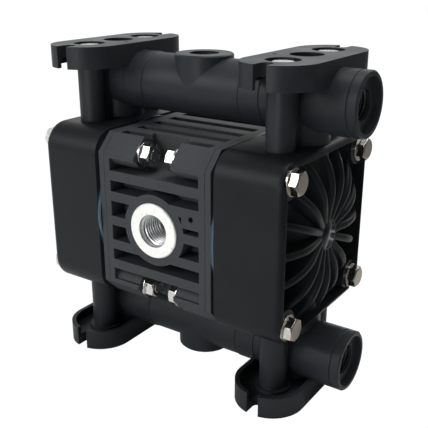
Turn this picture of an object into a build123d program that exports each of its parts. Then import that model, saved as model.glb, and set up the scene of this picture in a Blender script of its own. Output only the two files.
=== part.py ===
from build123d import *
import math
import os

# An air operated double diaphragm pump with quarter inch ports. +X runs through the shaft to the port ends,
# -Y is the air inlet side, Z is up. Everything is drawn about the pump's middle and is moved up by half its
# height when it is written, so that the foot face is Z = 0. Millimetres.

# ---- Whole pump ----
pipe_clearance = 4.5
port_reach = 69.5
column_spacing = 89.0
pipe_drop = 15.5

# ---- Overlaps: how far a cut runs past the face it opens, and an added shape into what carries it ----
past = 1.0
bite = 1.0

# ---- Centre section ----
centre_length = 53.0
centre_square = 68.6
centre_chamfer = 6.9

# ---- Louvres in the four flats ----
louvre_depth = 8.0
louvre_half_length = 21.2
louvre_rows = ((1.9, 8.2), (12.1, 16.7), (20.65, 25.5))
top_louvre_width = 4.7
top_louvre_pitch = 10.0

# ---- Air inlet ----
collar_radius = 14.3
inlet_ring_radius = 11.0
inlet_ring_thickness = 2.4
inlet_ring_proud = 0.7
inlet_body_radius = 8.8
inlet_bore_radius = 6.6
inlet_depth = 12.8
inlet_passage_radius = 2.0
inlet_ring_chamfer = 0.4
blank_height = 4.1
blank_depth = 3.0
vent_radius = 1.1
vent_x = 17.6
vent_z = 8.1

# ---- Air covers: dished plates that close the centre body at both ends ----
air_cover_thickness = 2.5
bowl_depth = 6.5
bowl_mouth_radius = 25.5
bowl_floor_radius = 18.5

# ---- Shaft, plates and diaphragms ----
stroke = 3.0
shaft_radius = 5.0
shaft_end_radius = 3.0
plate_radius = 15.0
inner_plate_thickness = 2.9
outer_plate_height = 5.0
outer_plate_rim = 1.4
outer_plate_crown_radius = 5.0
outer_plate_shoulder = 3.75
plate_edge_round = 1.0
shaft_end_engagement = 3.0
diaphragm_thickness = 1.6
diaphragm_proud = 0.2
diaphragm_clamp_radius = 29.0
diaphragm_roll_height = 2.6
diaphragm_roll_gap = 1.0

# ---- Shaft bushes and seals ----
bush_outer_radius = 7.0
bush_length = 8.0
seal_length = 3.0
seal_lip = 0.6

# ---- Air valve ----
valve_offset = 14.5
sleeve_radius = 6.0
spool_radius = 4.0
spool_waist_radius = 2.6
spool_travel = 3.0
spool_land = 4.0
valve_plug_length = 2.6
valve_port_radius = 1.2

# ---- Pilot rod ----
pilot_height = 12.0
pilot_radius = 2.0
pilot_travel = 1.8
pilot_chamfer = 0.4
pilot_seal_radius = 3.4
pilot_seal_length = 2.0

# ---- Exhaust muffler ----
muffler_near = 10.0
muffler_far = 16.0
muffler_half_height = 8.5
exhaust_half_length = 14.0

# ---- Cap bolts, nuts and washers (M5, 8 mm across flats) ----
bolt_offset = 27.5
bolt_radius = 2.5
bolt_hole_radius = 2.75
hex_across_flats = 8.0
hex_height = 3.5
hex_crown_height = 1.0
hex_crown_width = 0.6
nut_height = 4.0
washer_radius = 5.0
washer_thickness = 1.0
scoop_half_length = 8.8
scoop_radius = 6.9
bolt_column_radius = 6.0
bolt_boss_radius = 6.5
bolt_seat_sink = 1.5
bolt_tip = 3.5
bolt_tip_chamfer = 0.5
bolt_head_room_radius = 6.0

# ---- Fluid caps ----
cap_square = 69.6
cap_depth = 28.1
cap_corner_radius = 10.0
cap_edge_radius = 3.0
cap_wall = 2.6
pocket_depth = 20.2
dome_sink = 0.7
dome_radius = 40.4
rib_count = 16
rib_width = 3.1
rib_round = 1.35
rib_crest = ((-0.9, 0.0), (1.3, 14.0), (0.2, 24.5), (-4.6, 33.0), (-9.6, 39.8))
hub_radius = 6.0
hub_rise = 0.8
rib_bow = 2.6
chamber_mouth_radius = 29.5
chamber_depth = 12.0
valve_boss_start = 12.0
screw_boss_start = 14.0

# ---- Manifold ends: flange, riser and pipe stub in one moulding ----
flange_half_width = 14.2
flange_half_length = 33.0
flange_thickness = 8.6
flange_rim = 1.8
flange_pocket_depth = 4.0
foot_slot_width = 5.0
foot_slot_root = 26.0
screw_spacing = 34.6
counterbore_radius = 6.3
counterbore_depth = 4.0
screw_column_radius = 5.4
flow_column_radius = 10.0
riser_web = 7.0
step_radius = 7.0
step_height = 1.2
pipe_radius = 12.0
pipe_inner_end = 22.6
port_bore_radius = 5.9
port_thread_length = 12.0
flow_bore_radius = 5.4
port_recess_radius = 10.2
port_recess_depth = 2.5
port_ring_length = 3.4
ring_groove_width = 0.6
ring_groove_depth = 0.4
pipe_end_chamfer = 0.5
blind_end_chamfer = 2.0
bead_place = 31.0
bead_width = 1.0
bead_height = 0.35
locating_hole_radius = 0.9
locating_hole_depth = 2.0
locating_hole_x = 9.8
locating_hole_y = 6.0
screw_length = 35.0
screw_tip_room = 1.0
screw_boss_radius = 5.0

# ---- Centre tees ----
tee_radius = 11.7
tee_branch_radius = 11.6
tee_rise = 13.0
spigot_radius = 8.0
spigot_length = 7.4
spigot_ring_place = 4.0

# ---- Check valves ----
ball_radius = 4.7625
ball_lift = 2.7
seat_bore_radius = 3.6
seat_height = 3.0
cage_stop = 1.3
cage_guide_clearance = 0.35
cage_window_width = 4.4
cage_window_sill = 2.0
cage_window_head = 1.0
cage_bar_width = 2.2
valve_cavity_radius = 7.6
valve_sink = 6.3
valve_boss_radius = 9.6
valve_duct_radius = 4.2
valve_duct_reach = 4.0
valve_duct_drop = 8.0
valve_outlet_radius = 4.8

# ---- Sealing rings and fits ----
ring_section = 0.8
ring_fit = 0.05
ring_proud = 0.03
running_fit = 0.05
close_fit = 0.1
thread_fit = 0.05
shaft_passage_fit = 0.3
seat_gap = 0.05

# ---- Stations that follow from the sizes above ----
centre_half = centre_square / 2
centre_end = centre_length / 2
body_end = centre_end - air_cover_thickness
web_end = body_end - bowl_depth
cap_half = cap_square / 2
cap_inner = centre_end + diaphragm_thickness
cap_outer = cap_inner + cap_depth
pocket_floor = cap_outer - pocket_depth
bolt_seat = cap_outer - bolt_seat_sink
diaphragm_radius = cap_half + diaphragm_proud
pipe_height = centre_half + pipe_clearance + tee_radius
foot_face = pipe_height + pipe_drop
flange_inner = foot_face - flange_thickness
flange_ceiling = flange_inner + flange_pocket_depth
counterbore_floor = foot_face - counterbore_depth
column_x = column_spacing / 2
blind_end = column_x + flow_column_radius
screw_y = screw_spacing / 2
screw_hole_end = counterbore_floor - screw_length - screw_tip_room
valve_base = cap_half - valve_sink
ball_rest = seat_height + math.sqrt(ball_radius**2 - seat_bore_radius**2) + seat_gap
valve_length = ball_rest + ball_radius + ball_lift + close_fit + cage_stop
cage_inner_radius = ball_radius + cage_guide_clearance
valve_fit_radius = valve_cavity_radius - close_fit

SIDES = (("left", -1), ("right", 1))
LEVELS = (("inlet", -1), ("outlet", 1))


def rod_x(radius, start, end, y=0.0, z=0.0):
    """Round bar along X from start to end."""
    return extrude(Plane.YZ.offset(start) * Pos(y, z) * Circle(radius), end - start)


def rod_y(radius, start, end, x=0.0, z=0.0):
    """Round bar along Y from start to end."""
    return extrude(Plane.ZX.offset(start) * Pos(z, x) * Circle(radius), end - start)


def rod_z(radius, start, end, x=0.0, y=0.0):
    """Round bar along Z from start to end."""
    return extrude(Plane.XY.offset(start) * Pos(x, y) * Circle(radius), end - start)


def slab(x0, x1, y0, y1, z0, z1):
    """Box between two corners."""
    centre = Pos((x0 + x1) / 2, (y0 + y1) / 2, (z0 + z1) / 2)
    return centre * Box(abs(x1 - x0), abs(y1 - y0), abs(z1 - z0))


def turned(points):
    """Solid of revolution about X from (x, radius) points."""
    return revolve(make_face(Polyline(*points, close=True)), Axis.X)


def dome_x(radius, pole, base):
    """Cap of a sphere about X, with its pole at one station and its flat base at another."""
    middle = pole - radius
    rim = math.sqrt(radius**2 - (base - middle) ** 2)
    half = math.atan2(rim, base - middle) / 2
    edge = ThreePointArc(
        (base, rim),
        (middle + radius * math.cos(half), radius * math.sin(half)),
        (pole, 0),
    )
    return revolve(make_face(edge + Polyline((pole, 0), (base, 0), (base, rim))), Axis.X)


def ring_x(inner, outer, start, end, y=0.0, z=0.0):
    """Plain ring about an axis along X."""
    return rod_x(outer, start, end, y, z) - rod_x(inner, start, end, y, z)


def four_corners(piece):
    """Copies of a piece at the four long edges, each a quarter turn about X from the last."""
    return [Rot(90 * quarter, 0, 0) * piece for quarter in range(4)]


def on_side(piece, side):
    """The piece as drawn for the right side, or its mirror image for the left."""
    return piece if side > 0 else mirror(piece, about=Plane.YZ)


def at_level(piece, level):
    """The piece as drawn for the top, or its mirror image for the bottom."""
    return piece if level > 0 else mirror(piece, about=Plane.XY)


def centre_prism(start, end):
    """Length of the centre section: a square bar with its four long edges chamfered."""
    square = Rectangle(centre_square, centre_square)
    section = chamfer(square.vertices(), centre_chamfer)
    return extrude(Plane.YZ.offset(start) * section, end - start)


# ---- Centre body ----


def front_louvres():
    """Rows of slots across the front flat, in mirrored pairs above and below the middle."""
    rows = []
    for low, high in louvre_rows:
        for level in (-1, 1):
            row = slab(
                -louvre_half_length, louvre_half_length,
                -centre_half, -centre_half + louvre_depth,
                level * low, level * high,
            )
            rows.append(row)
    return rows


def top_louvres():
    """Rows of equal slots along the top flat."""
    rows = []
    for step in (-2.5, -1.5, -0.5, 0.5, 1.5, 2.5):
        middle = step * top_louvre_pitch
        row = slab(
            -louvre_half_length, louvre_half_length,
            middle - top_louvre_width / 2, middle + top_louvre_width / 2,
            centre_half - louvre_depth, centre_half,
        )
        rows.append(row)
    return rows


def bolt_scoop():
    """Rounded notch in the middle of a long edge, where the nuts of both caps are reached."""
    inner = bolt_offset - scoop_radius
    reach = centre_half + past
    scoop = rod_x(scoop_radius, -scoop_half_length, scoop_half_length, bolt_offset, bolt_offset)
    scoop += slab(-scoop_half_length, scoop_half_length, inner, reach, bolt_offset, reach)
    scoop += slab(-scoop_half_length, scoop_half_length, bolt_offset, reach, inner, reach)
    return scoop


def bowl_cone(shift):
    """Cone of the dished air cover, its mouth moved inwards along X by shift."""
    mouth = centre_end - shift
    floor = mouth - bowl_depth
    return turned([(mouth, 0), (mouth, bowl_mouth_radius), (floor, bowl_floor_radius), (floor, 0)])


def blanking_plate():
    """Web that closes the upper part of the slot to the right of the inlet."""
    high = louvre_rows[0][1]
    front = -centre_half
    return slab(
        collar_radius - bite, louvre_half_length,
        front, front + blank_depth,
        high - blank_height, high,
    )


def centre_body():
    body = centre_prism(-body_end, body_end)
    louvre_front = front_louvres()
    body -= louvre_front
    body -= [mirror(row, about=Plane.XZ) for row in louvre_front]
    louvre_top = top_louvres()
    body -= louvre_top
    body -= [mirror(row, about=Plane.XY) for row in louvre_top]
    column = rod_x(bolt_column_radius, -body_end, body_end, bolt_offset, bolt_offset)
    body += four_corners(column & centre_prism(-body_end, body_end))
    body += rod_y(collar_radius, -centre_half, -centre_half + louvre_depth)
    body += blanking_plate()
    body -= rod_y(vent_radius, -centre_half, -centre_half + blank_depth, vent_x, vent_z)
    body -= four_corners(bolt_scoop())
    body -= four_corners(rod_x(bolt_hole_radius, -body_end, body_end, bolt_offset, bolt_offset))
    pocket = bowl_cone(air_cover_thickness)
    body -= pocket
    body -= mirror(pocket, about=Plane.YZ)
    body -= inlet_cavity()
    body -= valve_and_shaft_bores()
    body -= muffler_cavity()
    return body


def inlet_cavity():
    """Stepped hole for the inlet insert, with the drilling that feeds the valve sleeve."""
    mouth = -centre_half
    cavity = rod_y(inlet_ring_radius, mouth, mouth + inlet_ring_thickness)
    cavity += rod_y(inlet_body_radius, mouth, mouth + inlet_depth)
    cavity += rod_y(inlet_passage_radius, mouth, -valve_offset)
    return cavity


def valve_and_shaft_bores():
    """Bores through the web: the shaft with its bushes and seals, the valve sleeve and the pilot rod."""
    nest = bush_length + seal_length
    bores = rod_x(shaft_radius + shaft_passage_fit, -web_end, web_end)
    bores += rod_x(sleeve_radius, -body_end, body_end, -valve_offset)
    bores += rod_x(pilot_radius + close_fit, -web_end, web_end, 0, pilot_height)
    for side in (-1, 1):
        bores += rod_x(bush_outer_radius, side * (web_end - nest), side * web_end)
        seal_start = side * (web_end - pilot_seal_length)
        bores += rod_x(pilot_seal_radius, seal_start, side * web_end, 0, pilot_height)
    return bores


def muffler_cavity():
    """Exhaust space behind the rear louvres, with windows out through the two middle rows."""
    low, high = louvre_rows[0]
    cavity = slab(-web_end, web_end, muffler_near, muffler_far, -muffler_half_height, muffler_half_height)
    for level in (-1, 1):
        cavity += slab(
            -exhaust_half_length, exhaust_half_length,
            muffler_near, centre_half,
            level * low, level * high,
        )
    return cavity


def air_inlet_insert():
    """Turned metal insert with the air thread, its ring standing just proud of the collar."""
    face = -centre_half - inlet_ring_proud
    shoulder = -centre_half + inlet_ring_thickness
    insert = rod_y(inlet_ring_radius, face, shoulder)
    insert = chamfer(insert.edges().group_by(Axis.Y)[0], inlet_ring_chamfer)
    insert += rod_y(inlet_body_radius, shoulder, -centre_half + inlet_depth)
    insert -= rod_y(inlet_bore_radius, face, -centre_half + inlet_depth)
    return insert


def muffler_element():
    """Felt block that fills the exhaust space."""
    return slab(-web_end, web_end, muffler_near, muffler_far, -muffler_half_height, muffler_half_height)


# ---- Air covers ----


def air_cover():
    """Dished plate at the right end, holding the seals and the plugs of the web in place."""
    cover = centre_prism(body_end, centre_end)
    cover += bowl_cone(air_cover_thickness)
    cover -= bowl_cone(0)
    cover -= rod_x(shaft_radius + shaft_passage_fit, web_end, centre_end)
    cover -= rod_x(pilot_radius + close_fit, web_end, centre_end, 0, pilot_height)
    cover -= four_corners(rod_x(bolt_hole_radius, body_end, centre_end, bolt_offset, bolt_offset))
    return cover


# ---- Shaft with its plates and diaphragms ----


def shaft():
    """Main shaft: a ground bar with a smaller threaded end through each diaphragm."""
    shoulder = centre_end - inner_plate_thickness
    tip = cap_inner + shaft_end_engagement
    bar = rod_x(shaft_radius, -shoulder, shoulder)
    bar += rod_x(shaft_end_radius, -tip, tip)
    return bar


def inner_plate():
    """Air side backing plate of the right diaphragm."""
    face = centre_end - inner_plate_thickness
    plate = rod_x(plate_radius, face, centre_end)
    plate = fillet(plate.edges().group_by(Axis.X)[-1], plate_edge_round)
    return plate - rod_x(shaft_end_radius + thread_fit, face, centre_end)


def outer_plate():
    """Fluid side plate of the right diaphragm, a low crown screwed on the shaft end."""
    back = cap_inner
    rim = back + outer_plate_rim
    crown = back + outer_plate_height
    line = Polyline((back, 0), (back, plate_radius), (rim, plate_radius))
    swell = ThreePointArc(
        (rim, plate_radius),
        (back + outer_plate_shoulder, (plate_radius + outer_plate_crown_radius) / 2),
        (crown, outer_plate_crown_radius),
    )
    close = Polyline((crown, outer_plate_crown_radius), (crown, 0), (back, 0))
    plate = revolve(make_face(line + swell + close), Axis.X)
    return plate - rod_x(shaft_end_radius + thread_fit, back, back + shaft_end_engagement + thread_fit)


def diaphragm():
    """Right diaphragm: clamped rim, one rolled convolution and a flat centre between the plates."""
    inner, outer = centre_end, cap_inner
    roll_start = plate_radius + diaphragm_roll_gap
    roll_middle = (roll_start + diaphragm_clamp_radius) / 2
    top = (outer + diaphragm_roll_height, roll_middle)
    bottom = (inner + diaphragm_roll_height, roll_middle)
    hole = shaft_end_radius + thread_fit
    outline = Polyline((inner, hole), (outer, hole), (outer, roll_start))
    outline += ThreePointArc((outer, roll_start), top, (outer, diaphragm_clamp_radius))
    outline += Polyline(
        (outer, diaphragm_clamp_radius), (outer, diaphragm_radius),
        (inner, diaphragm_radius), (inner, diaphragm_clamp_radius),
    )
    outline += ThreePointArc((inner, diaphragm_clamp_radius), bottom, (inner, roll_start))
    outline += Line((inner, roll_start), (inner, hole))
    return revolve(make_face(outline), Axis.X)


def shaft_bush():
    """Right plain bush of the shaft."""
    outer_end = web_end - seal_length
    return ring_x(shaft_radius + running_fit, bush_outer_radius, outer_end - bush_length, outer_end)


def shaft_seal():
    """Right shaft seal: a ring with an open groove towards the air chamber."""
    start = web_end - seal_length
    seal = ring_x(shaft_radius + running_fit, bush_outer_radius, start, web_end)
    groove = ring_x(shaft_radius + seal_lip, bush_outer_radius - seal_lip, start + seal_length / 2, web_end)
    return seal - groove


# ---- Air valve and pilot ----


def valve_sleeve():
    """Ported sleeve in the web, with three rows of radial ports."""
    sleeve = ring_x(spool_radius + running_fit, sleeve_radius, -web_end, web_end, -valve_offset)
    port_pitch = (web_end - valve_plug_length) / 3
    for station in (-2, -1, 0, 1, 2):
        for turn in (0, 90):
            port = rod_z(valve_port_radius, -sleeve_radius, sleeve_radius)
            sleeve -= Pos(station * port_pitch, -valve_offset, 0) * Rot(turn, 0, 0) * port
    return sleeve


def valve_spool():
    """Spool with three lands and two waists, free to shift inside the sleeve."""
    half = web_end - valve_plug_length - spool_travel - close_fit
    spool = rod_x(spool_waist_radius, -half, half)
    for middle in (-half + spool_land / 2, 0, half - spool_land / 2):
        spool += rod_x(spool_radius, middle - spool_land / 2, middle + spool_land / 2)
    return Pos(0, -valve_offset, 0) * spool


def valve_plug():
    """Right end plug of the sleeve, the spool's stop."""
    return rod_x(spool_radius + running_fit, web_end - valve_plug_length, web_end, -valve_offset)


def pilot_rod():
    """Pilot rod, pushed over by one inner plate and then the other at the ends of the stroke."""
    half = centre_end - inner_plate_thickness - stroke + pilot_travel - close_fit
    rod = rod_x(pilot_radius, -half, half, 0, pilot_height)
    return chamfer(rod.edges().filter_by(GeomType.CIRCLE), pilot_chamfer)


def pilot_seal():
    """Right seal ring of the pilot rod."""
    seal_start = web_end - pilot_seal_length
    return ring_x(pilot_radius + running_fit, pilot_seal_radius, seal_start, web_end, 0, pilot_height)


# ---- Fluid caps ----


def cap_outline(inset):
    """Rounded square of the cap in the YZ plane, smaller by inset on every side."""
    side = cap_square - 2 * inset
    return fillet(Rectangle(side, side).vertices(), cap_corner_radius - inset)


def cap_rib():
    """One radial rib of the right cap's end, drawn upright, its rounded crest bowing out past the rim."""
    hub = cap_outer + hub_rise
    start, rise, crown, rim, root = [(hub + out, up) for out, up in rib_crest]
    crest = Line(start, rise) + ThreePointArc(rise, crown, rim) + Line(rim, root)
    outline = crest + Polyline(root, (pocket_floor, root[1]), (pocket_floor, 0), start)
    rib = extrude(make_face(outline), rib_width / 2, both=True)
    flanks = [edge for edge in rib.edges() if abs(abs(edge.center().Z) - rib_width / 2) < 0.001]
    crest_edges = [edge for edge in flanks if edge.center().X > root[0]]
    return fillet(crest_edges, rib_round)


def end_relief():
    """What stands in the open end of the right cap: dome, hub, ribs and the bosses round its holes."""
    relief = dome_x(dome_radius, cap_outer - dome_sink, pocket_floor)
    relief += rod_x(hub_radius, pocket_floor, cap_outer + hub_rise)
    rib = cap_rib()
    relief += [Rot(360 / rib_count * turn, 0, 0) * rib for turn in range(rib_count)]
    relief += four_corners(rod_x(bolt_boss_radius, pocket_floor, bolt_seat, bolt_offset, bolt_offset))
    for level in (-1, 1):
        relief += rod_z(valve_boss_radius, level * valve_boss_start, level * cap_half, column_x)
        for y in (-screw_y, screw_y):
            relief += rod_z(screw_boss_radius, level * screw_boss_start, level * cap_half, column_x, y)
    space = extrude(Plane.YZ.offset(pocket_floor) * cap_outline(cap_wall / 2), pocket_depth + rib_bow)
    return relief & space


def chamber():
    """Fluid chamber, a shallow dome with its mouth at the diaphragm."""
    radius = (chamber_mouth_radius**2 + chamber_depth**2) / (2 * chamber_depth)
    return dome_x(radius, cap_inner + chamber_depth, cap_inner)


def valve_duct():
    """Slanted duct from the upper valve cavity down into the chamber."""
    top = Vector(column_x, 0, valve_base + past)
    end = Vector(cap_inner + valve_duct_reach, 0, chamber_mouth_radius - valve_duct_drop)
    run = end - top
    return extrude(Plane(origin=top, z_dir=run) * Circle(valve_duct_radius), run.length)


def fluid_cap():
    """Right fluid cap."""
    cap = extrude(Plane.YZ.offset(cap_inner) * cap_outline(0), cap_depth)
    cap = fillet(cap.edges().group_by(Axis.X)[-1], cap_edge_radius)
    cap -= extrude(Plane.YZ.offset(pocket_floor) * cap_outline(cap_wall), pocket_depth)
    cap += end_relief()
    head_room = rod_x(bolt_head_room_radius, bolt_seat, cap_outer + rib_bow, bolt_offset, bolt_offset)
    cap -= four_corners(head_room)
    cap -= four_corners(rod_x(bolt_hole_radius, cap_inner, cap_outer, bolt_offset, bolt_offset))
    cap -= chamber()
    duct = valve_duct()
    for level in (-1, 1):
        cap -= rod_z(valve_cavity_radius, level * valve_base, level * cap_half, column_x)
        cap -= at_level(duct, level)
        for y in (-screw_y, screw_y):
            cap -= rod_z(bolt_radius + thread_fit, level * screw_hole_end, level * cap_half, column_x, y)
    return cap


# ---- Manifold ends ----


def flange_outline(inset):
    """Obround of the flange, smaller by inset on every side."""
    return Rot(0, 0, 90) * SlotOverall(2 * (flange_half_length - inset), 2 * (flange_half_width - inset))


def riser():
    """Three columns joined by a thin web: the flow passage between two screw columns."""
    section = Circle(flow_column_radius)
    section += [Pos(0, y) * Circle(screw_column_radius) for y in (-screw_y, screw_y)]
    section += Rectangle(riser_web, screw_spacing)
    return extrude(Plane.XY.offset(cap_half) * Pos(column_x, 0) * section, flange_ceiling - cap_half)


def flange():
    """Flange with a pocket on its inner side, steps round the screw columns and a slot at each end."""
    plate = extrude(Plane.XY.offset(flange_inner) * Pos(column_x, 0) * flange_outline(0), flange_thickness)
    pocket = Plane.XY.offset(flange_inner) * Pos(column_x, 0) * flange_outline(flange_rim)
    plate -= extrude(pocket, flange_pocket_depth)
    for y in (-screw_y, screw_y):
        plate += rod_z(step_radius, flange_ceiling - step_height, flange_ceiling, column_x, y)
    return plate


def foot_slot():
    """Open slot at the front end of the flange."""
    centre = foot_slot_root + foot_slot_width / 2
    slot = rod_z(foot_slot_width / 2, flange_inner, foot_face, column_x, -centre)
    half = foot_slot_width / 2
    slot += slab(column_x - half, column_x + half, -flange_half_length, -centre, flange_inner, foot_face)
    return slot


def pipe_stub(outer_end, end_chamfer):
    """Pipe along X through the riser, from the tee to its outer end, with a bead beside the flange."""
    pipe = rod_x(pipe_radius, pipe_inner_end, outer_end, 0, pipe_height)
    pipe = chamfer(pipe.edges().group_by(Axis.X)[-1], end_chamfer)
    pipe = chamfer(pipe.edges().group_by(Axis.X)[0], pipe_end_chamfer)
    bead = rod_x(pipe_radius + bead_height, bead_place, bead_place + bead_width, 0, pipe_height)
    return pipe + chamfer(bead.edges().filter_by(GeomType.CIRCLE), bead_height)


def port_mouth():
    """What is cut for a port: its threaded bore, the recess round it and the groove behind the end ring."""
    mouth = port_reach - port_recess_depth
    groove = port_reach - port_ring_length
    cut = rod_x(port_bore_radius, mouth - port_thread_length, mouth, 0, pipe_height)
    cut += rod_x(port_recess_radius, mouth, port_reach, 0, pipe_height)
    cut += ring_x(
        pipe_radius - ring_groove_depth, pipe_radius + past,
        groove - ring_groove_width, groove, 0, pipe_height,
    )
    return cut


def manifold_end(has_port):
    """Upper end piece of a manifold, drawn for the right: its pipe ends in a port, or beside the riser."""
    socket_end = pipe_inner_end + spigot_length + close_fit
    if has_port:
        end = flange() + riser() + pipe_stub(port_reach, pipe_end_chamfer)
        end -= rod_x(flow_bore_radius, pipe_inner_end, port_reach, 0, pipe_height)
        end -= port_mouth()
    else:
        end = flange() + riser() + pipe_stub(blind_end, blind_end_chamfer)
        end -= rod_x(flow_bore_radius, pipe_inner_end, column_x + valve_outlet_radius, 0, pipe_height)
    end -= rod_x(spigot_radius + running_fit, pipe_inner_end, socket_end, 0, pipe_height)
    end -= rod_z(valve_cavity_radius, cap_half, valve_base + valve_length, column_x)
    end -= rod_z(valve_outlet_radius, cap_half, pipe_height, column_x)
    for y in (-screw_y, 0, screw_y):
        end -= rod_z(counterbore_radius, counterbore_floor, foot_face, column_x, y)
    for y in (-screw_y, screw_y):
        end -= rod_z(bolt_hole_radius, cap_half, foot_face, column_x, y)
    slot = foot_slot()
    end -= slot
    end -= mirror(slot, about=Plane.XZ)
    end -= rod_z(
        locating_hole_radius, foot_face - locating_hole_depth, foot_face,
        column_x - locating_hole_x, -locating_hole_y,
    )
    return end


# ---- Centre tees ----


def tee():
    """Upper centre tee: a pipe between the two end pieces with an equal branch upwards."""
    reach = pipe_inner_end + spigot_length
    branch_top = pipe_height + tee_rise
    body = rod_x(tee_radius, -pipe_inner_end, pipe_inner_end, 0, pipe_height)
    branch = rod_z(tee_branch_radius, pipe_height, branch_top)
    branch = chamfer(branch.edges().group_by(Axis.Z)[-1], pipe_end_chamfer)
    body += branch
    body += rod_x(spigot_radius, -reach, reach, 0, pipe_height)
    body -= rod_x(flow_bore_radius, -reach, reach, 0, pipe_height)
    body -= rod_z(port_bore_radius, pipe_height, branch_top)
    for side in (-1, 1):
        middle = side * (pipe_inner_end + spigot_ring_place)
        body -= ring_x(
            spigot_radius - 2 * ring_section, spigot_radius + past,
            middle - ring_section, middle + ring_section, 0, pipe_height,
        )
    return body


def square_ring(outer_radius):
    """Square section sealing ring about Z that fills a groove in a piece of this radius."""
    half = ring_section - ring_fit
    outer = outer_radius + ring_proud
    return rod_z(outer, -half, half) - rod_z(outer_radius - 2 * ring_section, -half, half)


def tee_rings():
    """The two sealing rings on the spigots of the upper tee."""
    ring = Rot(0, 90, 0) * square_ring(spigot_radius)
    place = pipe_inner_end + spigot_ring_place
    return [Pos(side * place, 0, pipe_height) * ring for side in (-1, 1)]


# ---- Check valves, drawn upright from the underside of the seat ----


def valve_seat():
    """Seat ring with a sharp lip for the ball and a groove for its sealing ring."""
    seat = rod_z(valve_fit_radius, 0, seat_height) - rod_z(seat_bore_radius, 0, seat_height)
    middle = seat_height / 2
    groove = rod_z(valve_fit_radius, middle - ring_section, middle + ring_section)
    groove -= rod_z(valve_fit_radius - 2 * ring_section, middle - ring_section, middle + ring_section)
    return seat - groove


def valve_seat_ring():
    """Sealing ring in the groove of the seat."""
    return Pos(0, 0, seat_height / 2) * square_ring(valve_fit_radius)


def valve_cage():
    """Cage over the ball: two rings joined by four guide bars, with a cross that stops the ball."""
    top = valve_length
    cage = rod_z(valve_fit_radius, seat_height, top) - rod_z(cage_inner_radius, seat_height, top)
    window_low = seat_height + cage_window_sill
    window_high = top - cage_stop - cage_window_head
    half = cage_window_width / 2
    for turn in (45, 135):
        window = slab(-valve_fit_radius, valve_fit_radius, -half, half, window_low, window_high)
        cage -= Rot(0, 0, turn) * window
    for turn in (0, 90):
        bar = slab(
            -cage_inner_radius - bite, cage_inner_radius + bite,
            -cage_bar_width / 2, cage_bar_width / 2, top - cage_stop, top,
        )
        cage += Rot(0, 0, turn) * bar
    return cage


def valve_ball():
    """Check ball, a hair above its seat."""
    return Pos(0, 0, ball_rest) * Sphere(ball_radius)


# ---- Fasteners ----


def hexagon(height):
    """Upright hexagon with its upper corners rounded off, standing on Z = 0."""
    across_corners = hex_across_flats / math.cos(math.pi / 6)
    prism = extrude(RegularPolygon(across_corners / 2, 6), height)
    crown = rod_z(across_corners / 2, 0, height)
    crown = chamfer(crown.edges().group_by(Axis.Z)[-1], hex_crown_width, hex_crown_height)
    return prism & crown


def washer():
    """Plain washer standing on Z = 0."""
    return rod_z(washer_radius, 0, washer_thickness) - rod_z(bolt_hole_radius, 0, washer_thickness)


def bolt(length):
    """Hex head screw, its head standing on Z = 0 and its shank going down."""
    shank = rod_z(bolt_radius, -length, 0)
    shank = chamfer(shank.edges().group_by(Axis.Z)[0], bolt_tip_chamfer)
    return hexagon(hex_height) + shank


def along_x(piece, x):
    """An upright fastener laid along +X at a bolt position of the right side."""
    return Pos(x, bolt_offset, bolt_offset) * Rot(0, 90, 0) * piece


def cap_bolts():
    """The four bolts of the right cap."""
    under_head = bolt_seat + washer_thickness
    return four_corners(along_x(bolt(under_head - bolt_tip), under_head))


def cap_washers():
    """The washers of the right cap's bolts, under the heads and under the nuts."""
    head = along_x(washer(), bolt_seat)
    nut = along_x(washer(), scoop_half_length - washer_thickness)
    return four_corners(head) + four_corners(nut)


def cap_nuts():
    """The four nuts of the right cap's bolts, in the scoops of the centre body."""
    seat = scoop_half_length - washer_thickness
    nut = hexagon(nut_height) - rod_z(bolt_radius + thread_fit, 0, nut_height)
    return four_corners(along_x(Rot(180, 0, 0) * nut, seat))


def manifold_screws():
    """The two screws of the right upper end piece, their heads in the counterbores."""
    places = [Pos(column_x, y, counterbore_floor) for y in (-screw_y, screw_y)]
    return [place * bolt(screw_length) for place in places]


# ---- Writing the pieces ----


def write(name, pieces):
    """Write a piece, or a group of like pieces, standing on the foot face."""
    group = pieces if isinstance(pieces, list) else [pieces]
    solids = [solid for piece in group for solid in piece.solids()]
    lifted = [Pos(0, 0, foot_face) * solid for solid in solids]
    export_step(Compound(lifted) if len(lifted) > 1 else lifted[0], f"parts/{name}.step")


def both_sides(piece):
    """A piece of the right side and its mirror image, as one group."""
    return [piece, on_side(piece, -1)]


def write_centre_section():
    write("centre_body", centre_body())
    write("air_inlet_insert", air_inlet_insert())
    write("muffler_element", muffler_element())
    write("shaft", shaft())
    write("shaft_bushes", both_sides(shaft_bush()))
    write("shaft_seals", both_sides(shaft_seal()))
    write("valve_sleeve", valve_sleeve())
    write("valve_spool", valve_spool())
    write("valve_plugs", both_sides(valve_plug()))
    write("pilot_rod", pilot_rod())
    write("pilot_seals", both_sides(pilot_seal()))


def write_pumping_sides():
    bolts, washers, nuts = cap_bolts(), cap_washers(), cap_nuts()
    pieces = {
        "air_cover": air_cover(),
        "inner_plate": inner_plate(),
        "outer_plate": outer_plate(),
        "diaphragm": diaphragm(),
        "fluid_cap": fluid_cap(),
    }
    for name, side in SIDES:
        for piece in pieces:
            write(f"{piece}_{name}", on_side(pieces[piece], side))
        write(f"cap_bolts_{name}", [on_side(piece, side) for piece in bolts])
        write(f"cap_washers_{name}", [on_side(piece, side) for piece in washers])
        write(f"cap_nuts_{name}", [on_side(piece, side) for piece in nuts])


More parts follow.
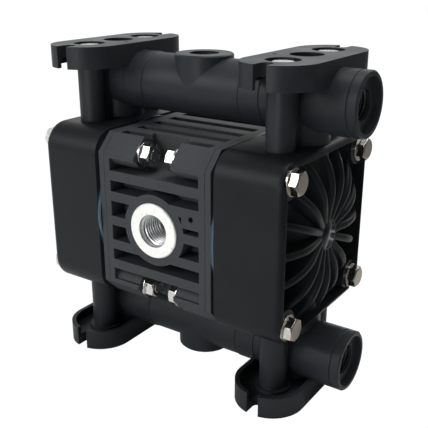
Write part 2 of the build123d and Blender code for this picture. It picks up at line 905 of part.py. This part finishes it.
def write_manifolds():
    ends = {"left": manifold_end(False), "right": manifold_end(True)}
    middle, rings, screws = tee(), tee_rings(), manifold_screws()
    for level_name, level in LEVELS:
        write(f"{level_name}_tee", at_level(middle, level))
        write(f"{level_name}_tee_rings", [at_level(ring, level) for ring in rings])
        for side_name, side in SIDES:
            place = f"{level_name}_{side_name}"
            write(f"manifold_end_{place}", on_side(at_level(ends[side_name], level), side))
            write(f"manifold_screws_{place}", [on_side(at_level(screw, level), side) for screw in screws])


def write_check_valves():
    seat, ring, cage, ball = valve_seat(), valve_seat_ring(), valve_cage(), valve_ball()
    bases = {"inlet": -valve_base - valve_length, "outlet": valve_base}
    for level_name in bases:
        for side_name, side in SIDES:
            place = Pos(side * column_x, 0, bases[level_name])
            name = f"{level_name}_{side_name}"
            write(f"valve_seat_{name}", place * seat)
            write(f"valve_cage_{name}", place * cage)
            write(f"check_ball_{name}", place * ball)
    write("valve_seat_rings", [
        Pos(side * column_x, 0, base) * ring for side in (-1, 1) for base in bases.values()
    ])


os.makedirs("parts", exist_ok=True)
write_centre_section()
write_pumping_sides()
write_manifolds()
write_check_valves()
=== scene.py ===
import math

import bpy
import numpy as np
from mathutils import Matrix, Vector


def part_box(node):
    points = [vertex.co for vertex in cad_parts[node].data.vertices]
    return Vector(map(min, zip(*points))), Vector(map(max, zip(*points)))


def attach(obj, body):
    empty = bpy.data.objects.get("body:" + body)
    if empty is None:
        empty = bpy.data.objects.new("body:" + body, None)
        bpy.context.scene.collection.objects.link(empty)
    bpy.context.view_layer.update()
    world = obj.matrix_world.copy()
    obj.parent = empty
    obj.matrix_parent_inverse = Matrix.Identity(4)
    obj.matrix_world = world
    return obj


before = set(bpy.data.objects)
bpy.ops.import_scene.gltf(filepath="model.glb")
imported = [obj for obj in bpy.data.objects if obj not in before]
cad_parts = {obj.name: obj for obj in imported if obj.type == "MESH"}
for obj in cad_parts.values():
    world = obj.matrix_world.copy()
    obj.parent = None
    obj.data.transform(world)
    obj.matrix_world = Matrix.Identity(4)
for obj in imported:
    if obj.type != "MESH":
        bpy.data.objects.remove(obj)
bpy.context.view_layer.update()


# ---- Centre block and air covers ----
# The block holds the air valve and the exhaust louvres, and a cover closes each of its ends. Glass filled
# polypropylene, dyed charcoal and injection moulded: satin, with a very fine texture from the tool, a little
# cloudy where the fibres lie, and polished slightly paler along its handled edges.


def add_node(tree, kind, inputs, **settings):
    """Adds a shader node, sets its options, and fills or links its inputs."""
    node = tree.nodes.new("ShaderNode" + kind)
    for option, value in settings.items():
        setattr(node, option, value)
    for name, value in inputs.items():
        if isinstance(value, bpy.types.NodeSocket):
            tree.links.new(value, node.inputs[name])
        else:
            node.inputs[name].default_value = value
    return node


def start_material(name, specular, metallic=0.0):
    """A new material, its node tree, its shader and the coordinates of the piece in metres."""
    material = bpy.data.materials.new(name)
    material.use_nodes = True
    tree = material.node_tree
    shader = tree.nodes["Principled BSDF"]
    shader.inputs["Metallic"].default_value = metallic
    shader.inputs["Specular IOR Level"].default_value = specular
    place = add_node(tree, "TexCoord", {}).outputs["Object"]
    return material, tree, shader, place


def calculate(tree, operation, *values):
    """One step of arithmetic on sockets and numbers."""
    return add_node(tree, "Math", dict(enumerate(values)), operation=operation).outputs[0]


def ramp(tree, value, start, end, low=0.0, high=1.0):
    """Goes from low to high as a value goes from start to end, and stays level beyond them."""
    ends = {"Value": value, "From Min": start, "From Max": end, "To Min": low, "To Max": high}
    return add_node(tree, "MapRange", ends).outputs["Result"]


def noise(tree, place, size, detail):
    """Noise whose blotches are about this many metres across."""
    inputs = {"Vector": place, "Scale": 1 / size, "Detail": detail}
    return add_node(tree, "TexNoise", inputs).outputs["Fac"]


def spread(tree, blotches, low, high):
    """Stretches the middle of a noise over a range of values."""
    return ramp(tree, blotches, 0.3, 0.7, low, high)


def blend_colours(tree, factor, first, second):
    """Mixes two colours by a factor."""
    node = add_node(tree, "Mix", {"Factor": factor}, data_type="RGBA")
    for socket, value in ((node.inputs[6], first), (node.inputs[7], second)):
        if isinstance(value, bpy.types.NodeSocket):
            tree.links.new(value, socket)
        else:
            socket.default_value = (*value, 1)
    return node.outputs[2]


def mottle(tree, blotches, first, second):
    """Mixes two colours in blotches."""
    return blend_colours(tree, spread(tree, blotches, 0, 1), first, second)


def brighter(colour, times):
    """A colour this many times as bright."""
    return tuple(times * part for part in colour)


def round_edges(tree, radius):
    """Normal of the surface with its sharp edges rounded."""
    return add_node(tree, "Bevel", {"Radius": radius}, samples=6).outputs["Normal"]


def along_edges(tree, rounded):
    """How far each point is into an edge that round_edges has rounded, from 0 to 1."""
    flat = add_node(tree, "NewGeometry", {}).outputs["Normal"]
    match = add_node(tree, "VectorMath", {0: rounded, 1: flat}, operation="DOT_PRODUCT")
    return ramp(tree, match.outputs["Value"], start=0.995, end=0.82)


def relief(tree, height, depth, strength, under=None):
    """Normal of a surface raised by a height, over the normal under it if one is given."""
    inputs = {"Strength": strength, "Distance": depth, "Height": height}
    if under is not None:
        inputs["Normal"] = under
    return add_node(tree, "Bump", inputs).outputs[0]


def dress(tree, shader, **finish):
    """Links the shader's colour, roughness, normal and metallic to those that are given."""
    sockets = {"colour": "Base Color", "roughness": "Roughness", "normal": "Normal", "metallic": "Metallic"}
    for part, value in finish.items():
        tree.links.new(value, shader.inputs[sockets[part]])


def coordinate(tree, place, axis):
    """One coordinate of each point."""
    return add_node(tree, "SeparateXYZ", {"Vector": place}).outputs[axis]


def from_middle(tree, place):
    """How far each point is to the left or right of the pump's middle."""
    return calculate(tree, "ABSOLUTE", coordinate(tree, place, "X"))


def charcoal_material(name, dark, light, gloss, satin, touches=()):
    """Moulded charcoal plastic. Each touch is a function that changes the finish at one kind of place."""
    material, tree, shader, place = start_material(name, specular=0.13)
    cloud = noise(tree, place, size=0.022, detail=4)
    fleck = noise(tree, place, size=0.0011, detail=5)
    grain = noise(tree, place, size=0.00035, detail=2)
    rounded = round_edges(tree, radius=0.00035)
    colour = mottle(tree, cloud, dark, light)
    colour = blend_colours(tree, spread(tree, fleck, 0, 0.22), colour, brighter(light, 1.6))
    worn = calculate(tree, "MULTIPLY", along_edges(tree, rounded), 0.30)
    colour = blend_colours(tree, worn, colour, brighter(light, 2.6))
    textured = relief(tree, grain, depth=0.00003, strength=0.35, under=rounded)
    rippled = relief(tree, cloud, depth=0.0002, strength=0.25, under=textured)
    finish = {"colour": colour, "roughness": spread(tree, cloud, gloss, satin), "normal": rippled}
    for touch in touches:
        touch(tree, place, finish)
    dress(tree, shader, **finish)
    return material


def joint_line(tree, place, finish):
    """Darkens the fine joint between the centre block and each air cover, where they meet flush."""
    block_end, half_width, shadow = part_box("centre_body")[1].x, 0.00022, (0.006, 0.006, 0.007)
    away = calculate(tree, "SUBTRACT", from_middle(tree, place), block_end)
    away = calculate(tree, "ABSOLUTE", away)
    line = ramp(tree, away, start=half_width, end=0.4 * half_width, high=0.75)
    finish["colour"] = blend_colours(tree, line, finish["colour"], shadow)


def paint(nodes, material):
    """Gives pieces of the frame their material."""
    for name in nodes:
        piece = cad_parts[name]
        piece.data.materials.clear()
        piece.data.materials.append(material)


sides = ("left", "right")
block_dark, block_light = (0.0275, 0.0305, 0.0330), (0.0360, 0.0395, 0.0425)
housing = charcoal_material(
    "charcoal_housing", block_dark, block_light, gloss=0.46, satin=0.58, touches=(joint_line,),
)
paint(["centre_body"] + [f"air_cover_{side}" for side in sides], housing)


# ---- Fluid caps and outer plates ----
# A cap closes each pumping chamber, and a plate inside it clamps the diaphragm to the shaft. They are the
# same polypropylene from a more polished mould: darker, with painted light that makes the shaded pockets
# between the ribs paler, and with a small glossy dome on the hub, where the mould was polished round the
# gate.

axis_height = sum(corner.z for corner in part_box("centre_body")) / 2
cap_dark, cap_light = (0.0048, 0.0056, 0.0063), (0.0079, 0.0091, 0.0103)


def painted_pocket_light(tree, place, finish):
    """Painted light: makes a cap paler where its ribs shut it in, lifting the shade in its pockets."""
    rib_room = 0.009
    open_sky = add_node(tree, "AmbientOcclusion", {"Distance": rib_room}, samples=6).outputs["AO"]
    # painted light: the more the ribs shade a point, the paler its colour is made
    painted_lift = ramp(tree, open_sky, start=0.70, end=0.20)
    finish["colour"] = blend_colours(tree, painted_lift, finish["colour"], brighter(cap_light, 3.2))


def slant(tree, across, up):
    """Straight distance of a point that is this far across and this far up."""
    flat = add_node(tree, "CombineXYZ", {"X": across, "Y": up}).outputs[0]
    return add_node(tree, "VectorMath", {0: flat}, operation="LENGTH").outputs["Value"]


def reach_from_axis(tree, place, across):
    """Distance from a level line through the pump's middle. Across is the level axis square to it."""
    up = calculate(tree, "SUBTRACT", coordinate(tree, place, "Z"), axis_height)
    return slant(tree, coordinate(tree, place, across), up)


def blend_values(tree, factor, first, second):
    """Mixes two numbers by a factor."""
    return add_node(tree, "Mix", {0: factor, 2: first, 3: second}, data_type="FLOAT").outputs[0]


def polish_hub(tree, place, finish):
    """Makes the middle of a cap's end a small glossy dome."""
    hub_radius, roundness, hub_gloss, hub_metallic = 0.0058, 70.0, 0.16, 0.8
    hub_colour = (0.030, 0.042, 0.046)
    reach = reach_from_axis(tree, place, "Y")
    on_hub = ramp(tree, reach, start=hub_radius, end=0.92 * hub_radius)
    drop = calculate(tree, "MULTIPLY", reach, reach)
    drop = calculate(tree, "MULTIPLY", drop, -roundness)
    finish["colour"] = blend_colours(tree, on_hub, finish["colour"], hub_colour)
    finish["roughness"] = blend_values(tree, on_hub, finish["roughness"], hub_gloss)
    finish["metallic"] = blend_values(tree, on_hub, 0.0, hub_metallic)
    finish["normal"] = relief(tree, drop, depth=1.0, strength=on_hub, under=finish["normal"])


# the caps carry painted light in their rib pockets as well as the glossy hub
wetted = charcoal_material(
    "charcoal_wetted", cap_dark, cap_light, gloss=0.37, satin=0.48, touches=(painted_pocket_light, polish_hub),
)
wetted_nodes = [f"{piece}_{side}" for piece in ("fluid_cap", "outer_plate") for side in sides]
paint(wetted_nodes, wetted)


# ---- Manifold ends and centre tees ----
# Four pipe ends are screwed to the caps, and a tee joins each pair of them. All four have slotted flanges,
# and the lower two stand on theirs. They are moulded from the same polypropylene, between the block and the
# caps in tone, and a little glossier.

levels = ("inlet", "outlet")
pipe_dark, pipe_light = (0.0116, 0.0137, 0.0156), (0.0182, 0.0210, 0.0236)
piped = charcoal_material("charcoal_manifold", pipe_dark, pipe_light, gloss=0.32, satin=0.46)
manifold_nodes = [f"manifold_end_{level}_{side}" for level in levels for side in sides]
paint(manifold_nodes + [f"{level}_tee" for level in levels], piped)


# ---- Air inlet insert and its thread ----
# Bright turned aluminium, pressed into the collar of the centre block. Its face keeps the fine rings of the
# lathe tool, and a quarter inch pipe thread of 19 turns an inch is tapped through it.


def lathe_rings(tree, place, across, pitch):
    """Fine rings round the level line that reach_from_axis measures from, as a turning tool leaves them."""
    turns = calculate(tree, "MULTIPLY", reach_from_axis(tree, place, across), 2 * math.pi / pitch)
    return calculate(tree, "SINE", turns)


def screw_thread(name, start, along, length, root_radius, crest_radius, pitch):
    """A closed V ridge that winds down a bore from its mouth, its root just inside the wall."""
    steps, root_half_width, crest_half_width = 40, 0.47, 0.09
    count = int(length / pitch * steps)
    along = np.array(along, float)
    across = np.array([0.0, 0.0, 1.0]) if abs(along[2]) < 0.5 else np.array([1.0, 0.0, 0.0])
    third = np.cross(along, across)
    flank = along * pitch * root_half_width
    flat = along * pitch * crest_half_width
    points = []
    for step in range(count + 1):
        angle = 2 * math.pi * step / steps
        fade = min(1.0, step / steps, (count - step) / steps)
        crest = root_radius + (crest_radius - root_radius) * fade
        radial = math.cos(angle) * across + math.sin(angle) * third
        middle = np.array(start) + along * (pitch * (step / steps + 0.5))
        points += [middle - flank + radial * root_radius, middle - flat + radial * crest]
        points += [middle + flat + radial * crest, middle + flank + radial * root_radius]
    faces = [[3, 2, 1, 0], [4 * count + corner for corner in range(4)]]
    for step in range(count):
        for corner in range(4):
            following = (corner + 1) % 4
            here, ahead = 4 * step, 4 * (step + 1)
            faces.append([here + corner, here + following, ahead + following, ahead + corner])
    mesh = bpy.data.meshes.new(name)
    mesh.from_pydata([tuple(point) for point in points], [], faces)
    mesh.validate()
    piece = bpy.data.objects.new(name, mesh)
    bpy.context.scene.collection.objects.link(piece)
    return piece


bright, tree, shader, place = start_material("turned_aluminium", specular=0.5, metallic=0.55)
stain = noise(tree, place, size=0.003, detail=4)
rings = lathe_rings(tree, place, "X", pitch=0.00022)
rounded = round_edges(tree, radius=0.0002)
dress(
    tree, shader,
    colour=mottle(tree, stain, (0.76, 0.76, 0.74), (0.86, 0.86, 0.83)),
    roughness=spread(tree, stain, 0.26, 0.40),
    normal=relief(tree, rings, depth=0.00001, strength=0.3, under=rounded),
)
paint(["air_inlet_insert"], bright)

grey, tree, shader, place = start_material("tapped_aluminium", specular=0.5, metallic=1.0)
torn = noise(tree, place, size=0.0007, detail=4)
dress(
    tree, shader,
    colour=mottle(tree, torn, (0.34, 0.35, 0.36), (0.54, 0.55, 0.56)),
    roughness=spread(tree, torn, 0.30, 0.44),
)
pipe_thread_pitch, inlet_thread_inset = 0.001337, 0.0003
inlet_mouth = (0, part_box("air_inlet_insert")[0].y + inlet_thread_inset, axis_height)
inlet_thread = screw_thread(
    "air_inlet_thread", inlet_mouth, (0, 1, 0), length=0.0125,
    root_radius=0.00663, crest_radius=0.00572, pitch=pipe_thread_pitch,
)
inlet_thread.data.materials.append(grey)
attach(inlet_thread, "pump_housing")


# ---- Threads of the four fluid ports ----
# Moulded in one with the charcoal manifolds, two at the right pipe ends and two in the tees. Their crests
# are slightly flattened, and the core that was unscrewed from the mould left them shiny.

polished, tree, shader, place = start_material("moulded_thread", specular=0.35)
smear = noise(tree, place, size=0.0016, detail=3)
dress(
    tree, shader,
    colour=mottle(tree, smear, (0.013, 0.014, 0.015), (0.028, 0.030, 0.031)),
    roughness=spread(tree, smear, 0.24, 0.40),
)
pipe_drop, port_recess, pipe_thread_depth, tee_thread_depth = 0.0155, 0.0025, 0.0115, 0.0072
for level, corner, outward in (("inlet", 0, -1), ("outlet", 1, 1)):
    pipe_box, tee_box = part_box(f"manifold_end_{level}_right"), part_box(f"{level}_tee")
    pipe_mouth = (pipe_box[1].x - port_recess, 0, pipe_box[corner].z - pipe_drop * outward)
    tee_mouth = (0, 0, tee_box[corner].z)
    ports = [("right", pipe_mouth, (-1, 0, 0), pipe_thread_depth)]
    ports.append(("centre", tee_mouth, (0, 0, -outward), tee_thread_depth))
    for place_name, mouth, inward, depth in ports:
        thread = screw_thread(
            f"{level}_port_thread_{place_name}", mouth, inward, length=depth - pipe_thread_pitch,
            root_radius=0.00593, crest_radius=0.00560, pitch=pipe_thread_pitch,
        )
        thread.data.materials.append(polished)
        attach(thread, "pump_housing")


# ---- Stainless fasteners: eight cap bolts with nuts and washers, eight manifold screws ----
# A2 stainless, cold headed and rolled, 8 mm across flats. The flats are bright and faintly drawn, the heads'
# ends are duller and warmer from the forging die, and the shanks carry a rolled thread of 0.8 mm pitch.


def stretch(tree, place, scale):
    """Coordinates scaled along each axis, so that noise on them becomes streaks."""
    return add_node(tree, "Mapping", {"Vector": place, "Scale": scale}).outputs[0]


head_start, bolt_offset, shank_radius, bolt_pitch = 0.043, 0.0275, 0.00256, 0.0008
forged_colour, forged_roughness, least_end_on = (0.36, 0.32, 0.27), 0.32, 0.6
steel, tree, shader, place = start_material("stainless", specular=0.5, metallic=1.0)
cloud = noise(tree, place, size=0.0022, detail=4)
streak = noise(tree, stretch(tree, place, (1.0, 9.0, 9.0)), size=0.0018, detail=3)
rounded = round_edges(tree, radius=0.00025)

facing = add_node(tree, "NewGeometry", {}).outputs["True Normal"]
sideways = calculate(tree, "ABSOLUTE", coordinate(tree, facing, "X"))
end_on = calculate(tree, "GREATER_THAN", sideways, least_end_on)
on_head = calculate(tree, "GREATER_THAN", from_middle(tree, place), head_start)
forged = calculate(tree, "MULTIPLY", end_on, on_head)
shade = mottle(tree, cloud, (0.50, 0.49, 0.47), (0.62, 0.61, 0.59))

offsets = []
for axis, middle in (("Y", 0.0), ("Z", axis_height)):
    shifted = calculate(tree, "SUBTRACT", coordinate(tree, place, axis), middle)
    folded = calculate(tree, "ABSOLUTE", shifted)
    offsets.append(calculate(tree, "SUBTRACT", folded, bolt_offset))
on_shank = calculate(tree, "LESS_THAN", slant(tree, *offsets), shank_radius)
turns = calculate(tree, "MULTIPLY", coordinate(tree, place, "X"), 2 * math.pi / bolt_pitch)
thread_wave = calculate(tree, "MULTIPLY", calculate(tree, "SINE", turns), on_shank)
rolled = relief(tree, thread_wave, depth=0.00012, strength=0.8, under=rounded)
dress(
    tree, shader,
    colour=blend_colours(tree, forged, shade, forged_colour),
    roughness=blend_values(tree, forged, spread(tree, streak, 0.10, 0.22), forged_roughness),
    normal=relief(tree, streak, depth=0.00002, strength=0.2, under=rolled),
)
fasteners = [f"cap_{kind}_{side}" for kind in ("bolts", "washers", "nuts") for side in sides]
fasteners += [f"manifold_screws_{level}_{side}" for level in levels for side in sides]
paint(fasteners, steel)


# ---- Diaphragms ----
# Blue thermoplastic elastomer, moulded, clamped all round between each air cover and fluid cap. Only the
# edge shows. It is smooth and slightly waxy, with a faint bloom in patches. Its rounded edges carry a
# painted pale highlight, and beside the air cover it is painted dark as the shadow of the cover's edge.

cover_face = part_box("air_cover_right")[1].x
# painted shade: dark beside the air cover, going over to the plain blue a millimetre away, as the cover's
# edge shadows it
shade_end, lit_start = cover_face + 0.0005, cover_face + 0.0010
painted_shade, painted_edge_highlight = (0.004, 0.014, 0.026), (0.050, 0.145, 0.220)
blue, tree, shader, place = start_material("blue_elastomer", specular=0.45)
bloom = noise(tree, place, size=0.004, detail=4)
fine = noise(tree, place, size=0.0006, detail=2)
rounded = round_edges(tree, radius=0.00012)
shade = mottle(tree, bloom, (0.008, 0.036, 0.068), (0.018, 0.066, 0.112))
# painted highlight: the rounded edges are made pale, as where light catches them
shade = blend_colours(tree, along_edges(tree, rounded), shade, painted_edge_highlight)
out_of_shade = ramp(tree, from_middle(tree, place), shade_end, lit_start)
dress(
    tree, shader,
    colour=blend_colours(tree, out_of_shade, painted_shade, shade),
    roughness=spread(tree, bloom, 0.30, 0.45),
    normal=relief(tree, fine, depth=0.00004, strength=0.3, under=rounded),
)
paint([f"diaphragm_{side}" for side in sides], blue)


# ---- White acetal inner pieces: shaft bushes, valve plugs, check valve seats and cages ----
# Turned and milled from white acetal bar, a slightly waxy solid with the fine marks of the cutting tool.
# They are held in their bores by the air covers, or between the caps and the manifolds.

acetal, tree, shader, place = start_material("white_acetal", specular=0.4)
haze = noise(tree, place, size=0.005, detail=3)
marks = noise(tree, stretch(tree, place, (1.0, 1.0, 8.0)), size=0.0012, detail=2)
dress(
    tree, shader,
    colour=mottle(tree, haze, (0.72, 0.71, 0.67), (0.82, 0.82, 0.79)),
    roughness=spread(tree, marks, 0.32, 0.48),
    normal=relief(tree, marks, depth=0.00003, strength=0.3),
)
acetal_nodes = ["shaft_bushes", "valve_plugs"]
for kind in ("seat", "cage"):
    acetal_nodes += [f"valve_{kind}_{level}_{side}" for level in levels for side in sides]
paint(acetal_nodes, acetal)


# ---- Sealing rings and shaft seals ----
# Black nitrile rubber, moulded, seated in grooves of the tees, the check valve seats and the web of the
# centre block. Dull, with a grey bloom and a trace of grease.

rubber, tree, shader, place = start_material("black_rubber", specular=0.4)
grease = noise(tree, place, size=0.002, detail=4)
pores = noise(tree, place, size=0.0003, detail=2)
dress(
    tree, shader,
    colour=mottle(tree, grease, (0.010, 0.010, 0.011), (0.032, 0.032, 0.034)),
    roughness=spread(tree, grease, 0.35, 0.65),
    normal=relief(tree, pores, depth=0.00003, strength=0.3),
)
rubber_nodes = ["shaft_seals", "pilot_seals", "valve_seat_rings"]
rubber_nodes += [f"{level}_tee_rings" for level in levels]
paint(rubber_nodes, rubber)


# ---- Muffler element ----
# A block of pressed grey wool felt behind the rear louvres, cut to fill the exhaust space. Fibres cross in
# all directions, so the colour is flecked and the surface is soft and matt.

felt, tree, shader, place = start_material("grey_felt", specular=0.1)
shader.inputs["Sheen Weight"].default_value = 0.3
fibres = []
for scale in ((14, 1, 1), (1, 14, 1), (1, 1, 14)):
    fibres.append(noise(tree, stretch(tree, place, scale), size=0.0025, detail=3))
crossed = calculate(tree, "MAXIMUM", fibres[0], fibres[1])
crossed = calculate(tree, "MAXIMUM", crossed, fibres[2])
dress(
    tree, shader,
    colour=mottle(tree, crossed, (0.16, 0.155, 0.145), (0.40, 0.39, 0.37)),
    roughness=spread(tree, crossed, 0.85, 0.98),
    normal=relief(tree, crossed, depth=0.0003, strength=0.8),
)
paint(["muffler_element"], felt)


# ---- Check balls ----
# Three-eighths inch balls of white fluoropolymer, ground round. They rest on the seats and lift with the
# flow, which rubs them faintly grey in patches.

white, tree, shader, place = start_material("ball_polymer", specular=0.4)
rub = noise(tree, place, size=0.0016, detail=5)
dress(
    tree, shader,
    colour=mottle(tree, rub, (0.74, 0.74, 0.72), (0.87, 0.87, 0.85)),
    roughness=spread(tree, rub, 0.28, 0.42),
)
paint([f"check_ball_{level}_{side}" for level in levels for side in sides], white)


# ---- Inner plates of the diaphragms ----
# Turned aluminium discs behind the diaphragms, clamped against the shoulders of the shaft, with the lathe's
# rings left on their faces.

plate, tree, shader, place = start_material("plate_aluminium", specular=0.5, metallic=1.0)
dull = noise(tree, place, size=0.004, detail=4)
rings = lathe_rings(tree, place, "Y", pitch=0.0003)
dress(
    tree, shader,
    colour=mottle(tree, dull, (0.62, 0.63, 0.64), (0.76, 0.77, 0.78)),
    roughness=spread(tree, dull, 0.28, 0.44),
    normal=relief(tree, rings, depth=0.00002, strength=0.4),
)
paint([f"inner_plate_{side}" for side in sides], plate)


# ---- Shaft, pilot rod and valve spool ----
# The shaft joins the two diaphragms, the pilot rod feels the end of each stroke, and the spool turns the air
# to the other side. Ground stainless steel, finely scratched where the bars slide in their bushes and seals.

ground, tree, shader, place = start_material("ground_steel", specular=0.5, metallic=1.0)
scratch = noise(tree, stretch(tree, place, (12.0, 1.0, 1.0)), size=0.002, detail=4)
dress(
    tree, shader,
    colour=mottle(tree, scratch, (0.50, 0.50, 0.50), (0.66, 0.66, 0.65)),
    roughness=spread(tree, scratch, 0.14, 0.26),
    normal=relief(tree, scratch, depth=0.00002, strength=0.2),
)
paint(["shaft", "pilot_rod", "valve_spool"], ground)


# ---- Valve sleeve ----
# Machined brass, honed inside and drilled with three rows of ports. It is a push fit in the web of the
# centre block, dulled a little by moist air.

brass, tree, shader, place = start_material("brass_sleeve", specular=0.5, metallic=1.0)
tarnish = noise(tree, place, size=0.003, detail=5)
honing = noise(tree, place, size=0.0005, detail=2)
dress(
    tree, shader,
    colour=mottle(tree, tarnish, (0.46, 0.33, 0.13), (0.74, 0.57, 0.27)),
    roughness=spread(tree, tarnish, 0.24, 0.44),
    normal=relief(tree, honing, depth=0.00002, strength=0.2),
)
paint(["valve_sleeve"], brass)


# ---- Floor ----
# Seamless white paper under the pump, almost pure white, with a soft trace of the pump's shadow. In shiny
# surfaces it shows darker on the right, as the dim side of the room does. From below it is clear, so that
# the feet can be looked at.


def blend_surfaces(tree, factor, first, second):
    """Mixes two shaders by a factor."""
    return add_node(tree, "MixShader", {0: factor, 1: first, 2: second}).outputs[0]


def glow(tree, strength):
    """White light of its own, where 1 is plain white."""
    return add_node(tree, "Emission", {"Color": (1, 1, 1, 1), "Strength": strength}).outputs[0]


floor_reach, floor_drop, paper_white = 3.0, 0.00005, (0.88, 0.88, 0.88, 1)
mesh = bpy.data.meshes.new("floor")
corners = [(x * floor_reach, y * floor_reach, 0) for x, y in ((-1, -1), (1, -1), (1, 1), (-1, 1))]
mesh.from_pydata(corners, [], [(0, 1, 2, 3)])
floor = bpy.data.objects.new("floor", mesh)
floor.location.z = -floor_drop
bpy.context.scene.collection.objects.link(floor)

paper, tree, shader, place = start_material("white_paper", specular=0.0)
shader.inputs["Base Color"].default_value = paper_white
shader.inputs["Roughness"].default_value = 0.95
path = add_node(tree, "LightPath", {})
seen = calculate(tree, "MULTIPLY", path.outputs["Is Camera Ray"], 0.95)
surface = blend_surfaces(tree, seen, shader.outputs[0], glow(tree, 1.06))
to_right = ramp(tree, coordinate(tree, place, "X"), start=0.02, end=0.22, high=0.85)
dimmed = calculate(tree, "MULTIPLY", path.outputs["Is Glossy Ray"], to_right)
surface = blend_surfaces(tree, dimmed, surface, glow(tree, 0.03))
under = add_node(tree, "NewGeometry", {}).outputs["Backfacing"]
clear = add_node(tree, "BsdfTransparent", {}).outputs[0]
surface = blend_surfaces(tree, under, surface, clear)
tree.links.new(surface, tree.nodes["Material Output"].inputs["Surface"])
mesh.materials.append(paper)


# ---- Lights and room ----
# One broad soft box high on the left in front of the pump, one low in front for its feet, one overhead, one
# behind and a weak one from the right. The room is white, dimmer towards the right and the ceiling, and
# shows as plain white where the camera sees it directly.


def soft_box(name, position, target, width, power):
    lamp = bpy.data.lights.new(name, "AREA")
    lamp.shape = "DISK"
    lamp.size = width
    lamp.energy = power
    box = bpy.data.objects.new(name, lamp)
    box.location = position
    direction = [end - start for start, end in zip(position, target)]
    box.rotation_euler = Vector(direction).to_track_quat("-Z", "Y").to_euler()
    bpy.context.scene.collection.objects.link(box)


pump_middle, pump_foot = (0, 0, 0.06), (0, 0, 0.03)
soft_box("key_light", (-0.42, -0.70, 0.50), pump_middle, width=0.50, power=3.5)
soft_box("low_light", (0.08, -0.90, 0.04), pump_foot, width=0.40, power=3.4)
soft_box("top_light", (0.05, 0.10, 0.85), pump_middle, width=0.55, power=5.4)
soft_box("back_light", (0.10, 0.75, 0.75), pump_middle, width=0.50, power=2.6)
soft_box("fill_light", (0.85, -0.35, 0.30), pump_middle, width=0.40, power=0.2)

world = bpy.data.worlds.new("studio")
world.use_nodes = True
bpy.context.scene.world = world
tree = world.node_tree
room = add_node(tree, "TexCoord", {}).outputs["Generated"]
to_right, upward = coordinate(tree, room, "X"), coordinate(tree, room, "Z")
plain_light = ramp(tree, to_right, start=-0.6, end=0.9, low=0.46, high=0.12)
walls = ramp(tree, to_right, start=-0.6, end=0.9, low=1.0, high=0.10)
ceiling = ramp(tree, upward, start=0.45, end=0.8, low=1.0, high=0.35)
seen_in_gloss = calculate(tree, "MULTIPLY", walls, ceiling)
path = add_node(tree, "LightPath", {})
mirrored = calculate(tree, "MAXIMUM", path.outputs["Is Glossy Ray"], path.outputs["Is Transmission Ray"])
brightness = blend_values(tree, mirrored, plain_light, seen_in_gloss)
brightness = blend_values(tree, path.outputs["Is Camera Ray"], brightness, 1.0)
tree.links.new(brightness, tree.nodes["Background"].inputs["Strength"])
tree.nodes["Background"].inputs["Color"].default_value = (1, 1, 1, 1)


# ---- Camera ----
# Three-quarter view from the front right, looking down about twenty degrees from thirty centimetres away,
# through a lens a little longer than normal.

look_down, look_round = 19.955, 34.42
camera_data = bpy.data.cameras.new("camera")
camera_data.lens = 58.65
camera_data.sensor_width = 36.0
camera_data.clip_start = 0.01
camera = bpy.data.objects.new("camera", camera_data)
camera.location = (0.15945, -0.22614, 0.16307)
camera.rotation_euler = (math.radians(90 - look_down), 0, math.radians(look_round))
bpy.context.scene.collection.objects.link(camera)
bpy.context.scene.camera = camera

bpy.context.scene.view_settings.view_transform = "Standard"
